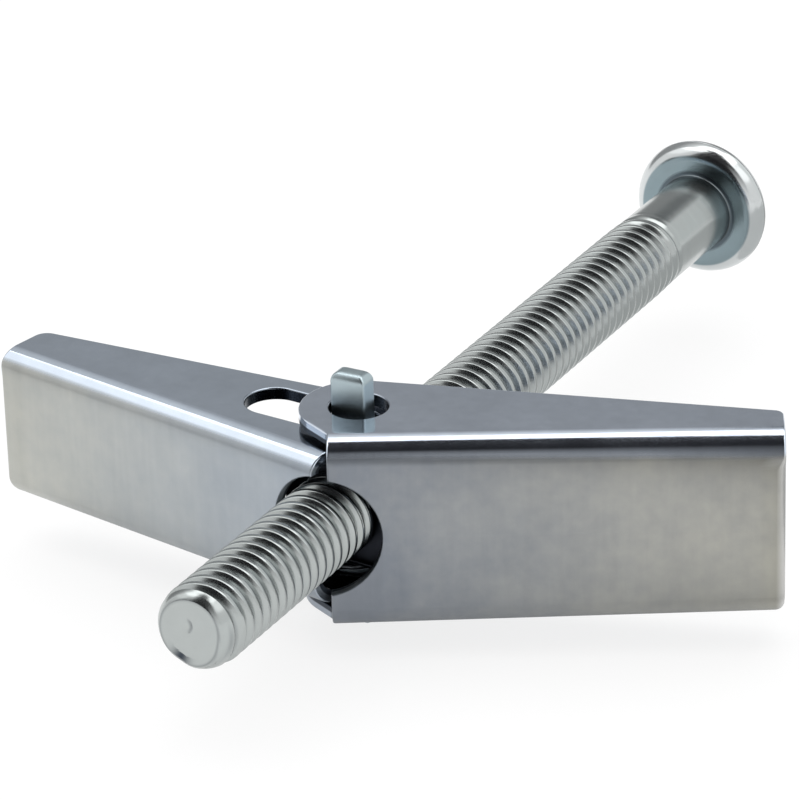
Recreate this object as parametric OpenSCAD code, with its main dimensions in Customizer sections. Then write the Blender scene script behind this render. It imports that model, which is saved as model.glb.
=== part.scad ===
// Spring toggle bolt: a pan head machine screw, a trunnion nut that rides on its thread, and two
// folded sheet wings that swing on the nut's two tabs and are held open by a double torsion spring.
// Frame: origin at the centre of the nut, +Y along the screw towards its head, +Z along the pivot.

/* [Screw] */
// Outside diameter of the thread
shank_d = 4.0; // [3.6:0.1:4.4]
// Length of the screw under its head
screw_len = 50; // [38:1:80]
// How far the tip stands out past the pivot axis
tip_out = 14.5; // [8:0.5:22]
// Diameter of the flat face on the tip
tip_face_d = 3.1; // [2.4:0.1:3.4]
// Length of the chamfer behind the tip's face
tip_chamfer = 0.5; // [0.3:0.1:1.0]
// Largest diameter of the head
head_d = 7.0; // [6.2:0.1:8.4]
// Height of the head
head_h = 2.5; // [2.0:0.1:3.4]
// Radius that rounds the edge of the head's seat
head_rim_r = 0.45; // [0.2:0.05:0.8]
// Radius of the domed top of the head
head_dome_r = 4.9; // [4.4:0.1:9.0]
// Tip to tip width of the cross recess
recess_d = 4.3; // [3.2:0.1:4.6]
// Width of each arm of the cross recess
recess_w = 0.95; // [0.6:0.05:1.3]
// Depth of the cross recess
recess_depth = 1.7; // [1.0:0.1:1.9]
// Diameter of the recess at its bottom
recess_floor_d = 2.0; // [1.2:0.1:2.6]

/* [Trunnion nut] */
// Width of the nut across the wings
nut_w = 5.4; // [4.8:0.1:5.8]
// Thickness of the nut along the screw
nut_t = 3.4; // [2.4:0.1:3.8]
// Height of the nut between its tabs
nut_h = 4.8; // [4.7:0.05:4.85]
// Radius on the nut's long edges
nut_edge_r = 0.5; // [0.2:0.05:0.8]
// Radial clearance between the screw and the nut
thread_clear = 0.05; // [0.02:0.01:0.1]
// Width of a pivot tab
tab_w = 1.75; // [1.2:0.05:1.8]
// Thickness of a pivot tab along the screw
tab_t = 1.0; // [0.7:0.05:1.2]
// How far a tab stands out of the outer wing
tab_out = 1.65; // [0.6:0.05:3.0]
// Radius on the end corners of a tab
tab_end_r = 0.45; // [0.1:0.05:0.5]

/* [Wings] */
// Thickness of the sheet
sheet_t = 0.6; // [0.4:0.05:0.65]
// Outside radius of the folds between web and flanges
fold_r = 0.9; // [0.7:0.05:1.2]
// Distance from the pivot axis to the outside of a web
web_dist = 3.9; // [3.8:0.05:5.0]
// Radius of the ears round the pivot
ear_r = 2.7; // [2.3:0.05:3.0]
// Height of the outer wing over its flanges
outer_h = 9.2; // [9.0:0.05:9.3]
// Gap between the outer wing's flanges and the inner wing's
nest_gap = 0.25; // [0.15:0.01:0.3]
// Depth of the flanges at a wing's free end
end_depth = 2.7; // [1.6:0.1:3.4]
// Radius on the flange corners at a wing's free end
end_corner_r = 0.7; // [0.3:0.05:1.0]
// Radius that rounds the outside edge of a web's free end
end_edge_r = 0.5; // [0.2:0.05:0.55]
// Radius of the half-round notch that lets the screw through a web
notch_r = 2.8; // [2.6:0.05:3.0]
// How far the notch's centre lies outside a web's inner end
notch_out = 0.45; // [0.2:0.05:0.5]
// Distance from pivot to free end on the outer wing
outer_len = 18.9; // [15:0.1:26]
// How far the outer wing's web runs past its pivot
outer_lap = 1.35; // [1.2:0.05:1.5]
// Angle of the open outer wing to a line square to the screw
outer_open = 27.5; // [24:0.5:36]
// Sideways play: the outer wing's pivot lies this far off the tab's centre
pivot_play = 0.3; // [0:0.05:0.35]
// Diameter of the outer wing's pivot holes
pivot_hole_d = 2.7; // [2.65:0.05:3.0]
// Radius on the web's free corners of the outer wing
outer_web_r = 0.5; // [0.2:0.05:1.0]
// Distance from pivot to free end on the inner wing
inner_len = 18.4; // [15:0.05:26]
// How far the inner wing's web runs past its pivot
inner_lap = 0.75; // [0.6:0.05:0.9]
// Angle of the open inner wing to a line square to the screw
inner_open = 11; // [10:0.5:20]
// Radius on the web's free corners of the inner wing
inner_web_r = 0.95; // [0.2:0.05:1.2]
// Width of the long slot in the inner wing's flanges
slot_w = 2.7; // [2.2:0.05:2.9]
// Distance from the pivot to the centre of the slot's far end
slot_reach = 4.3; // [2.5:0.1:7.0]
// Angle of the slot to the inner wing's web
slot_tilt = 6.5; // [0:0.5:12]

/* [Spring] */
// Diameter of the spring wire
wire_d = 0.3; // [0.2:0.01:0.31]
// Radius of the coil at the middle of the wire
coil_r = 1.25; // [1.2:0.01:1.6]
// Gap kept between the wire and what lies over and under it
wire_gap = 0.04; // [0.02:0.01:0.06]
// Where the spring's bridge bears on the outer web, measured from the pivot
bridge_at = 2.9; // [2.3:0.1:4.5]
// Where the spring's ends bear on the inner web, measured from the pivot
end_at = 3.3; // [2.6:0.1:5.0]
// Bend radius of the bridge's corners
bridge_bend_r = 0.6; // [0.4:0.05:1.0]

/* [Hidden] */
$fn = 64;
eps = 0.01;

shank_r = shank_d / 2;
head_r = head_d / 2;
inner_h = outer_h - 2 * (sheet_t + nest_gap);
inner_room = inner_h / 2 - sheet_t;

// Heights of the wire's middle line: beside the nut, and beside the inner wing's flange.
wire_low_z = nut_h / 2 + wire_gap + wire_d / 2;
wire_high_z = inner_room - wire_gap - wire_d / 2;
wire_w = web_dist - sheet_t - wire_gap - wire_d / 2;

// Point P in a wing's own frame, as seen from above, put into the part's frame.
function on_outer(u, w) = [
    pivot_play + u * cos(outer_open) + w * sin(outer_open),
    u * sin(outer_open) - w * cos(outer_open)
];
function on_inner(u, w) = [
    -u * cos(inner_open) - w * sin(inner_open),
    u * sin(inner_open) - w * cos(inner_open)
];

// Where a line from point p touches a circle of radius r about the origin. side is 1 or -1.
function touch_angle(p, r, side) = atan2(p[1], p[0]) + side * acos(r / norm(p));

// The spring's middle line: the bridge, a leg, one coil and the second leg above the screw, then
// the same again below it.
bridge_p = on_outer(bridge_at, wire_w);
end_p = on_inner(end_at, wire_w);
coil_start = touch_angle(bridge_p, coil_r, -1) + 360;
coil_end = touch_angle(end_p, coil_r, 1);
leg_dir = [sin(coil_start), -cos(coil_start)];
coil_steps = 28;
bend_steps = 5;
wire_sides = 8;

function bridge_corner(a) = [
    bridge_p[0] + leg_dir[0] * bridge_bend_r * (1 - cos(a)),
    bridge_p[1] + leg_dir[1] * bridge_bend_r * (1 - cos(a)),
    wire_low_z - bridge_bend_r * (1 - sin(a))
];
function coil_point(k) =
    let (a = coil_start + (coil_end - coil_start) * k)
    [coil_r * cos(a), coil_r * sin(a), wire_low_z + (wire_high_z - wire_low_z) * k];

upper_line = concat(
    [for (i = [0:bend_steps]) bridge_corner(90 * i / bend_steps)],
    [for (i = [0:coil_steps]) coil_point(i / coil_steps)],
    [[end_p[0], end_p[1], wire_high_z]]
);
line_count = len(upper_line);
spring_line = concat(
    [for (i = [1:line_count]) let (p = upper_line[line_count - i]) [p[0], p[1], -p[2]]],
    upper_line
);

function unit(v) = v / norm(v);
function tangent(line, i) =
    unit(line[min(i + 1, len(line) - 1)] - line[max(i - 1, 0)]);
function square_to(n, t) = unit(n - t * (n * t));

// Side vectors carried along a line without twist, starting from the vector n0.
function carried(line, n0) = [
    for (i = 0, n = square_to(n0, tangent(line, 0));
         i < len(line);
         i = i + 1, n = i < len(line) ? square_to(n, tangent(line, i)) : n)
    n
];

// A round bar of diameter d along a line of points.
module wire(line, d, sides) {
    sides_n = carried(line, [0, 1, 0]);
    points = [
        for (i = [0:len(line) - 1], j = [0:sides - 1])
            let (a = 360 * j / sides,
                 n = sides_n[i],
                 b = cross(tangent(line, i), n))
            line[i] + d / 2 * (cos(a) * n + sin(a) * b)
    ];
    last = (len(line) - 1) * sides;
    walls = [
        for (i = [0:len(line) - 2], j = [0:sides - 1])
            let (k = (j + 1) % sides)
            [i * sides + j, (i + 1) * sides + j, (i + 1) * sides + k, i * sides + k]
    ];
    near_cap = [for (j = [0:sides - 1]) j];
    far_cap = [for (j = [0:sides - 1]) last + sides - 1 - j];
    polyhedron(points, concat(walls, [near_cap, far_cap]), convexity = 6);
}

// The children with the corner at p rounded by r. The corner's edges run towards a and b.
module rounded_at(p, a, b, r) {
    da = unit(a - p);
    db = unit(b - p);
    half = acos(da * db) / 2;
    centre = p + unit(da + db) * r / sin(half);
    run = r / tan(half);
    difference() {
        children();
        polygon([p + da * run, 2 * p - centre, p + db * run, centre]);
    }
    translate(centre) circle(r);
}

// A rectangle about the origin with all its corners rounded.
module rounded_rect(w, h, r) {
    square([w - 2 * r, h], center = true);
    square([w, h - 2 * r], center = true);
    for (x = [-1, 1], y = [-1, 1]) translate([x * (w / 2 - r), y * (h / 2 - r)]) circle(r);
}

// One fold of the sheet: a quarter ring about the fold's centre.
module fold_ring() {
    intersection() {
        difference() {
            circle(fold_r);
            circle(fold_r - sheet_t);
        }
        translate([-fold_r, 0]) square(fold_r);
    }
}

// Cross section of a wing of height h, seen along its length: web on the left, flanges to the right.
module channel_section(h) {
    fold_z = h / 2 - fold_r;
    translate([-web_dist, -fold_z]) square([sheet_t, 2 * fold_z]);
    for (s = [0, 1]) mirror([0, s]) {
        translate([-web_dist + fold_r, fold_z]) fold_ring();
        translate([-web_dist + fold_r, h / 2 - sheet_t])
            square([web_dist - fold_r + ear_r + eps, sheet_t]);
    }
}

// A wing's outline from above: web along the bottom, tapering back edge, round ear.
module wing_plan(len, lap) {
    inner_corner = [-lap, -web_dist];
    outer_corner = [len, -web_dist];
    flange_corner = [len, end_depth - web_dist];
    back_angle = touch_angle(flange_corner, ear_r, 1);
    back_touch = ear_r * [cos(back_angle), sin(back_angle)];
    ear_foot = [-lap, -sqrt(ear_r * ear_r - lap * lap)];
    rounded_at(outer_corner, inner_corner, flange_corner, end_edge_r)
        rounded_at(flange_corner, outer_corner, back_touch, end_corner_r)
            polygon([inner_corner, outer_corner, flange_corner, back_touch, [0, 0], ear_foot]);
    circle(ear_r);
}

// A wing's outline seen square to its web, with its two free corners rounded by r.
module wing_side(len, h, r) {
    start = -ear_r - 1;
    translate([start, -h / 2]) square([len - r - start, h]);
    translate([start, r - h / 2]) square([len - start, h - 2 * r]);
    for (s = [-1, 1]) translate([len - r, s * (h / 2 - r)]) circle(r);
}

// A folded sheet wing in its own frame: pivot at the origin, web square to -Y, free end at +X.
module wing_blank(h, len, lap, web_r) {
    notch_u = -lap - notch_out;
    difference() {
        intersection() {
            translate([-ear_r - 1, 0, 0]) rotate([90, 0, 90])
                linear_extrude(len + ear_r + 2) channel_section(h);
            linear_extrude(h + 2, center = true) wing_plan(len, lap);
            rotate([90, 0, 0]) linear_extrude(4 * web_dist, center = true) wing_side(len, h, web_r);
        }
        translate([notch_u, -web_dist + 1.5 * sheet_t, 0]) rotate([90, 0, 0])
            cylinder(r = notch_r, h = 3 * sheet_t);
    }
}

// Machine screw along Y: chamfered tip, plain shank at the thread's outside, pan head with a cross.
module screw() {
    color([0.74, 0.77, 0.78])
    translate([0, -tip_out, 0]) rotate([-90, 0, 0]) {
        cylinder(h = tip_chamfer, r1 = tip_face_d / 2, r2 = shank_r);
        translate([0, 0, tip_chamfer]) cylinder(h = screw_len - tip_chamfer, r = shank_r);
        translate([0, 0, screw_len]) pan_head();
    }
}

// Half of the head's section: flat seat, rounded rim, domed top.
module head_profile() {
    intersection() {
        union() {
            square([head_r - head_rim_r, head_h]);
            translate([0, head_rim_r]) square([head_r, head_h - head_rim_r]);
            translate([head_r - head_rim_r, head_rim_r]) circle(head_rim_r);
        }
        translate([0, head_h - head_dome_r]) circle(head_dome_r, $fn = 180);
        square([head_r + 1, head_h + 1]);
    }
}

module pan_head() {
    difference() {
        rotate_extrude() head_profile();
        translate([0, 0, head_h - recess_depth]) intersection() {
            cylinder(h = recess_depth + eps, r1 = recess_floor_d / 2, r2 = recess_d / 2);
            for (a = [0, 90]) rotate(a)
                translate([-recess_d / 2, -recess_w / 2, -eps]) cube([recess_d, recess_w, head_h]);
        }
    }
}

// Threaded block with a tab at each end, which carries both wings.
module trunnion_nut() {
    tab_span = outer_h + 2 * tab_out;
    color([0.62, 0.67, 0.7])
    difference() {
        union() {
            rotate([90, 0, 0]) linear_extrude(nut_t, center = true)
                rounded_rect(nut_w, nut_h, nut_edge_r);
            rotate([90, 0, 0]) linear_extrude(tab_t, center = true)
                rounded_rect(tab_w, tab_span, tab_end_r);
        }
        rotate([90, 0, 0]) cylinder(r = shank_r + thread_clear, h = nut_t + 2, center = true);
    }
}

// Wing with round pivot holes, outside the other one.
module outer_wing() {
    color([0.66, 0.69, 0.74])
    translate([pivot_play, 0, 0]) rotate(outer_open) difference() {
        wing_blank(outer_h, outer_len, outer_lap, outer_web_r);
        cylinder(d = pivot_hole_d, h = outer_h + 2, center = true);
    }
}

// Wing with a long slot in each flange, nested between the outer wing's flanges.
module inner_wing() {
    color([0.7, 0.72, 0.76])
    mirror([1, 0, 0]) rotate(inner_open) difference() {
        wing_blank(inner_h, inner_len, inner_lap, inner_web_r);
        linear_extrude(inner_h + 2, center = true) rotate(-slot_tilt) {
            circle(d = slot_w);
            translate([0, -slot_w / 2]) square([slot_reach, slot_w]);
            translate([slot_reach, 0]) circle(d = slot_w);
        }
    }
}

// Double torsion spring: a coil round each tab, a bridge behind the outer web, two free ends.
module spring() {
    color([0.5, 0.52, 0.55]) wire(spring_line, wire_d, wire_sides);
}

screw();
trunnion_nut();
outer_wing();
inner_wing();
spring();
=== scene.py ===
"""Spring toggle bolt: the looks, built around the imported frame.

Every length in the classes is in millimetres, in the frame's own axes: +Y runs along the screw
towards its head, +Z along the wings' pivot, and the origin is the centre of the nut.
"""

from __future__ import annotations

import logging
import math
from dataclasses import dataclass, field
from enum import Enum

import bpy
import numpy as np
from mathutils import Matrix, Vector
from mathutils.geometry import tessellate_polygon

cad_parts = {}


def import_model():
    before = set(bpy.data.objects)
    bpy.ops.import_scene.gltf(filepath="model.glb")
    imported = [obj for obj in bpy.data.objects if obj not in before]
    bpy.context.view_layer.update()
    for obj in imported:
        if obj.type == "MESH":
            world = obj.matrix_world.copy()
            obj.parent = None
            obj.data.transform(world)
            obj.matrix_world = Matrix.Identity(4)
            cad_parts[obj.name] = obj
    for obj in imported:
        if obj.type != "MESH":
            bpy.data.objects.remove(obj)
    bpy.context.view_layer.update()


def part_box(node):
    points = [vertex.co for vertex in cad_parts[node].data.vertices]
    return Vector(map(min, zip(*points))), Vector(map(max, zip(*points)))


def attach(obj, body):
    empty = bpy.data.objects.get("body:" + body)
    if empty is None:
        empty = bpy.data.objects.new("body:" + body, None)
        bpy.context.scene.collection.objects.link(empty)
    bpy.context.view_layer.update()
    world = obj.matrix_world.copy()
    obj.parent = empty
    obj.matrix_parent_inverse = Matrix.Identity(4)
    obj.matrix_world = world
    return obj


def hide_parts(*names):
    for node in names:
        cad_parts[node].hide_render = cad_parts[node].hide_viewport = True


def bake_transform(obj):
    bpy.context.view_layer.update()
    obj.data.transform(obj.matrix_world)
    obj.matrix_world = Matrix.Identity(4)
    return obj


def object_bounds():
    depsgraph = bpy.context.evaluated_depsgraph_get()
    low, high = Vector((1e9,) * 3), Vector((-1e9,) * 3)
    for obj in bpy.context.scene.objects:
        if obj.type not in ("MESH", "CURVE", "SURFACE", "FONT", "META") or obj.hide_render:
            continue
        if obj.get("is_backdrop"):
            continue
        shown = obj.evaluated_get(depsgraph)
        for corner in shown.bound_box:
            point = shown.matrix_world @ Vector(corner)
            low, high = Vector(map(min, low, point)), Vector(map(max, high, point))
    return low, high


LOG = logging.getLogger("toggle_bolt")
MM = 0.001
Array = np.ndarray
Colour = tuple[float, float, float]


class Body(Enum):
    """The moving bodies of the frame."""

    SCREW = "screw"
    NUT = "nut"
    OUTER = "outer_wing"
    INNER = "inner_wing"


class Slot(Enum):
    """The record's material slots."""

    SCREW = "screw_zinc"
    NUT = "nut_zinc"
    WING = "wing_zinc"
    SPRING = "spring_wire"


# ---------------------------------------------------------------- small shape tools


def smooth(x: Array) -> Array:
    """Smooth step: 3x^2 - 2x^3 of x held between 0 and 1.

    Args:
        x: values of any shape.

    Returns:
        The eased values.
    """
    t = np.clip(x, 0.0, 1.0)
    return t * t * (3.0 - 2.0 * t)


def fillet(a: Array, p: Array, b: Array, radius: float, count: int) -> Array:
    """Arc that rounds the corner p of the path a-p-b, tangent to both of its edges.

    The arc's centre lies on the corner's bisector at radius / sin(half angle) from p.

    Args:
        a: a point on the edge that comes in.
        p: the corner.
        b: a point on the edge that goes out.
        radius: the arc's radius.
        count: how many points.

    Returns:
        Points of shape (count, 2), from the first edge to the second.
    """
    da = (a - p) / np.linalg.norm(a - p)
    db = (b - p) / np.linalg.norm(b - p)
    half = math.acos(float(np.clip(da @ db, -1, 1))) / 2
    centre = p + (da + db) / np.linalg.norm(da + db) * radius / math.sin(half)
    start, stop = (p + d * radius / math.tan(half) - centre for d in (da, db))
    a0 = math.atan2(start[1], start[0])
    turn = (math.atan2(stop[1], stop[0]) - a0 + math.pi) % (2 * math.pi) - math.pi
    angle = a0 + turn * np.linspace(0, 1, count)
    return centre + radius * np.stack([np.cos(angle), np.sin(angle)], 1)


def line(a: Array, b: Array, count: int) -> Array:
    """Points on the straight line from a to b, both ends among them."""
    return a + (b - a) * np.linspace(0, 1, count)[:, None]


def grid_tris(rows: int, cols: int, wrap: bool = False, flip: bool = False) -> Array:
    """Triangles of a grid of points stored row by row. They face (along rows) x (along columns).

    Args:
        rows: number of rows.
        cols: number of points in a row.
        wrap: whether the last column joins the first.
        flip: whether to turn every face round.

    Returns:
        Point numbers of shape (n, 3).
    """
    i, j = np.meshgrid(np.arange(rows - 1), np.arange(cols if wrap else cols - 1), indexing="ij")
    k = (j + 1) % cols
    a, b, c, d = (v.ravel() for v in (i * cols + j, (i + 1) * cols + j, (i + 1) * cols + k, i * cols + k))
    tris = np.concatenate([np.stack([a, b, c], 1), np.stack([a, c, d], 1)])
    return tris[:, ::-1] if flip else tris


@dataclass
class Shell:
    """Points in millimetres, the triangles between them, and what the finish needs to know there."""

    points: Array
    tris: Array
    normals: Array | None = None
    uv: Array | None = None
    marks: dict[str, Array] = field(default_factory=dict)

    @staticmethod
    def joined(parts: list[Shell]) -> Shell:
        """One shell of several, each with the same extras.

        Args:
            parts: the shells.

        Returns:
            The joined shell, not welded.
        """
        starts = np.cumsum([0] + [len(p.points) for p in parts[:-1]])
        first = parts[0]
        return Shell(
            np.concatenate([p.points for p in parts]),
            np.concatenate([p.tris + s for p, s in zip(parts, starts)]),
            None if first.normals is None else np.concatenate([p.normals for p in parts]),
            None if first.uv is None else np.concatenate([p.uv for p in parts]),
            {k: np.concatenate([p.marks[k] for p in parts]) for k in first.marks},
        )

    def welded(self, tol: float = 2e-4) -> Shell:
        """The shell with points closer than tol made one and collapsed faces dropped."""
        key = np.floor(self.points / tol + 0.137).astype(np.int64)
        _, first, where = np.unique(key, axis=0, return_index=True, return_inverse=True)
        where = where.reshape(-1)
        t = where[self.tris]
        t = t[(t[:, 0] != t[:, 1]) & (t[:, 1] != t[:, 2]) & (t[:, 0] != t[:, 2])]
        normals = None
        if self.normals is not None:
            normals = np.zeros((len(first), 3))
            np.add.at(normals, where, self.normals)
            normals /= np.maximum(np.linalg.norm(normals, axis=1, keepdims=True), 1e-9)
        uv = None if self.uv is None else self.uv[first]
        return Shell(self.points[first], t, normals, uv, {k: v[first] for k, v in self.marks.items()})

    def to_object(self, name: str) -> bpy.types.Object:
        """A smooth-shaded mesh object at the origin, with its place in its mesh.

        Args:
            name: the piece's name.

        Returns:
            The linked object.
        """
        mesh = bpy.data.meshes.new(name)
        count = len(self.tris)
        mesh.vertices.add(len(self.points))
        mesh.vertices.foreach_set("co", (self.points * MM).ravel())
        mesh.loops.add(3 * count)
        mesh.loops.foreach_set("vertex_index", self.tris.ravel().astype(np.int32))
        mesh.polygons.add(count)
        mesh.polygons.foreach_set("loop_start", np.arange(0, 3 * count, 3, dtype=np.int32))
        mesh.update(calc_edges=True)
        if self.uv is not None:
            layer = mesh.uv_layers.new(name="sheet")
            layer.data.foreach_set("uv", self.uv[self.tris.ravel()].ravel())
        for key, values in self.marks.items():
            mesh.attributes.new(key, "FLOAT", "POINT").data.foreach_set("value", values.astype(np.float32))
        mesh.shade_smooth()
        if self.normals is not None:
            mesh.normals_split_custom_set_from_vertices(self.normals)
        mesh.validate()
        obj = bpy.data.objects.new(name, mesh)
        bpy.context.scene.collection.objects.link(obj)
        return obj


# ---------------------------------------------------------------- finishes


def node_group(name: str, inputs: dict[str, tuple[str, object]], outputs: dict[str, str]):
    """An empty shader node group with named sockets.

    Args:
        name: the group's name.
        inputs: socket name to (socket type, default or None).
        outputs: socket name to socket type.

    Returns:
        The group, its input node and its output node.
    """
    group = bpy.data.node_groups.new(name, "ShaderNodeTree")
    for key, (kind, default) in inputs.items():
        socket = group.interface.new_socket(key, in_out="INPUT", socket_type=kind)
        if default is not None:
            socket.default_value = default
    for key, kind in outputs.items():
        group.interface.new_socket(key, in_out="OUTPUT", socket_type=kind)
    return group, group.nodes.new("NodeGroupInput"), group.nodes.new("NodeGroupOutput")


def math_node(tree: bpy.types.NodeTree, operation: str, *values: object) -> bpy.types.NodeSocket:
    """A Math node with each input either linked or set.

    Args:
        tree: the tree it goes into.
        operation: the operation's name.
        values: sockets or numbers.

    Returns:
        Its output.
    """
    node = tree.nodes.new("ShaderNodeMath")
    node.operation = operation
    for socket, value in zip(node.inputs, values):
        if isinstance(value, bpy.types.NodeSocket):
            tree.links.new(value, socket)
        else:
            socket.default_value = value
    return node.outputs[0]


def mix_colour(tree: bpy.types.NodeTree, factor: object, a: object, b: object) -> bpy.types.NodeSocket:
    """A colour between a and b by factor. Each is a socket or a value.

    Args:
        tree: the tree it goes into.
        factor: 0 gives a and 1 gives b.
        a: the first colour.
        b: the second colour.

    Returns:
        The mixed colour.
    """
    node = tree.nodes.new("ShaderNodeMix")
    node.data_type = "RGBA"
    for socket, value in zip((node.inputs[0], node.inputs[6], node.inputs[7]), (factor, a, b)):
        if isinstance(value, bpy.types.NodeSocket):
            tree.links.new(value, socket)
        else:
            socket.default_value = value
    return node.outputs[2]


def noise(tree: bpy.types.NodeTree, vector: bpy.types.NodeSocket, scale: float, detail: float):
    """A noise value at a vector.

    Args:
        tree: the tree it goes into.
        vector: where it is read.
        scale: its scale.
        detail: its detail.

    Returns:
        The noise's factor socket.
    """
    node = tree.nodes.new("ShaderNodeTexNoise")
    node.inputs["Scale"].default_value = scale
    node.inputs["Detail"].default_value = detail
    tree.links.new(vector, node.inputs["Vector"])
    return node.outputs["Fac"]


def mottle_group() -> bpy.types.NodeTree:
    """Cloudy patches of a plated surface: two noises, broad and fine, centred on zero."""
    group, given, out = node_group(
        "plating_mottle",
        {"Vector": ("NodeSocketVector", None), "Amount": ("NodeSocketFloat", 0.1)},
        {"Mask": "NodeSocketFloat"},
    )
    broad = noise(group, given.outputs["Vector"], 260.0, 3.0)
    fine = noise(group, given.outputs["Vector"], 1500.0, 4.0)
    both = math_node(group, "MULTIPLY_ADD", broad, 0.65, math_node(group, "MULTIPLY", fine, 0.35))
    centred = math_node(group, "SUBTRACT", both, 0.5)
    group.links.new(math_node(group, "MULTIPLY", centred, given.outputs["Amount"]), out.inputs["Mask"])
    return group


def grain_group() -> bpy.types.NodeTree:
    """Fine drawn lines of rolled sheet: a noise read in coordinates squeezed along one way."""
    group, given, out = node_group(
        "rolling_grain",
        {"Vector": ("NodeSocketVector", None), "Squeeze": ("NodeSocketVector", (1.0, 1.0, 1.0))},
        {"Height": "NodeSocketFloat"},
    )
    squeezed = group.nodes.new("ShaderNodeVectorMath")
    squeezed.operation = "MULTIPLY"
    group.links.new(given.outputs["Vector"], squeezed.inputs[0])
    group.links.new(given.outputs["Squeeze"], squeezed.inputs[1])
    group.links.new(noise(group, squeezed.outputs[0], 1.0, 3.0), out.inputs["Height"])
    return group


@dataclass(frozen=True)
class ZincFinish:
    """Bright zinc plating. It reads the marks stored on a piece's points, each 0 where there is none.

    polished and satin are the colours at the two ends of the satin mark, and satin goes over to
    warm by the along mark, with the plating's patches pulling it either way. cut is a dark colour:
    torn metal with painted shade low on a sheet's cut wall; painted shade down the holes' walls,
    under the lower fold, in the corner under the screw's head and in the crease round its tip's
    face; and a darker tone in the thread roots, the tip's nick and a half ring on its face.
    end_band is a dull band across a sheet's free end, edge a lighter colour over its rounded end,
    and inside painted shade on faces deep in the channel, on the nut's block and on the wire there.
    """

    name: str
    polished: Colour
    satin: Colour = (0.3, 0.3, 0.3)
    warm: Colour = (0.3, 0.3, 0.3)
    # cut and inside are dark colours that also serve as painted shade.
    cut: Colour = (0.05, 0.06, 0.075)
    inside: Colour = (0.02, 0.022, 0.028)
    end_band: Colour = (0.15, 0.14, 0.08)
    edge: Colour = (0.52, 0.52, 0.51)
    polished_rough: float = 0.125
    satin_rough: float = 0.34
    mottle: float = 0.2
    grain_depth: float = 0.000004
    sheet: bool = False

    def build(self, mottle: bpy.types.NodeTree, grain: bpy.types.NodeTree) -> bpy.types.Material:
        """The material.

        Args:
            mottle: the shared patches.
            grain: the shared drawn lines.

        Returns:
            The finished material.
        """
        mat = bpy.data.materials.new(self.name)
        mat.use_nodes = True
        tree = mat.node_tree
        shader = tree.nodes["Principled BSDF"]
        shader.inputs["Metallic"].default_value = 1.0
        coords = tree.nodes.new("ShaderNodeTexCoord")
        patches = self._placed(tree, mottle, coords.outputs["Object"])
        patches.inputs["Amount"].default_value = self.mottle
        lines = self._placed(tree, grain, coords.outputs["UV" if self.sheet else "Object"])
        lines.inputs["Squeeze"].default_value = (2.6, 0.22, 1.0) if self.sheet else (900.0, 4000.0, 900.0)

        satin = self._mark(tree, "satin")
        warmth = math_node(tree, "MULTIPLY_ADD", patches.outputs["Mask"], 2.0, self._mark(tree, "along"))
        web = mix_colour(tree, warmth, (*self.satin, 1.0), (*self.warm, 1.0))
        web = mix_colour(tree, self._mark(tree, "end_band"), web, (*self.end_band, 1.0))
        colour = mix_colour(tree, satin, (*self.polished, 1.0), web)
        colour = mix_colour(tree, self._mark(tree, "edge"), colour, (*self.edge, 1.0))
        # cut and inside mix in dark colours: torn metal, and painted shade in corners, hole walls, under the
        # lower fold and inside the channel.
        cut = self._mark(tree, "cut")
        colour = mix_colour(tree, cut, colour, (*self.cut, 1.0))
        colour = mix_colour(tree, self._mark(tree, "inside"), colour, (*self.inside, 1.0))
        streak = math_node(tree, "MULTIPLY_ADD", lines.outputs["Height"], 0.12, -0.06)
        streak = math_node(tree, "MULTIPLY", streak, satin)
        shade = math_node(tree, "ADD", patches.outputs["Mask"], math_node(tree, "ADD", streak, 1.0))
        scaled = tree.nodes.new("ShaderNodeVectorMath")
        scaled.operation = "SCALE"
        tree.links.new(colour, scaled.inputs[0])
        tree.links.new(shade, scaled.inputs["Scale"])
        tree.links.new(scaled.outputs[0], shader.inputs["Base Color"])

        spread = self.satin_rough - self.polished_rough
        rough = math_node(tree, "MULTIPLY_ADD", satin, spread, self.polished_rough)
        rough = math_node(tree, "MULTIPLY_ADD", cut, 0.12, rough)
        uneven = math_node(tree, "MULTIPLY_ADD", patches.outputs["Mask"], 0.25, rough)
        tree.links.new(uneven, shader.inputs["Roughness"])
        bump = tree.nodes.new("ShaderNodeBump")
        bump.inputs["Distance"].default_value = self.grain_depth
        bump.inputs["Strength"].default_value = 0.6
        tree.links.new(lines.outputs["Height"], bump.inputs["Height"])
        tree.links.new(bump.outputs["Normal"], shader.inputs["Normal"])
        return mat

    @staticmethod
    def _placed(tree: bpy.types.NodeTree, group: bpy.types.NodeTree, where: bpy.types.NodeSocket):
        """A group's node that reads a vector."""
        node = tree.nodes.new("ShaderNodeGroup")
        node.node_tree = group
        tree.links.new(where, node.inputs["Vector"])
        return node

    @staticmethod
    def _mark(tree: bpy.types.NodeTree, name: str) -> bpy.types.NodeSocket:
        """The value of a mark stored on the piece's points."""
        node = tree.nodes.new("ShaderNodeAttribute")
        node.attribute_name = name
        return node.outputs["Fac"]


# ---------------------------------------------------------------- screw


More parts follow.
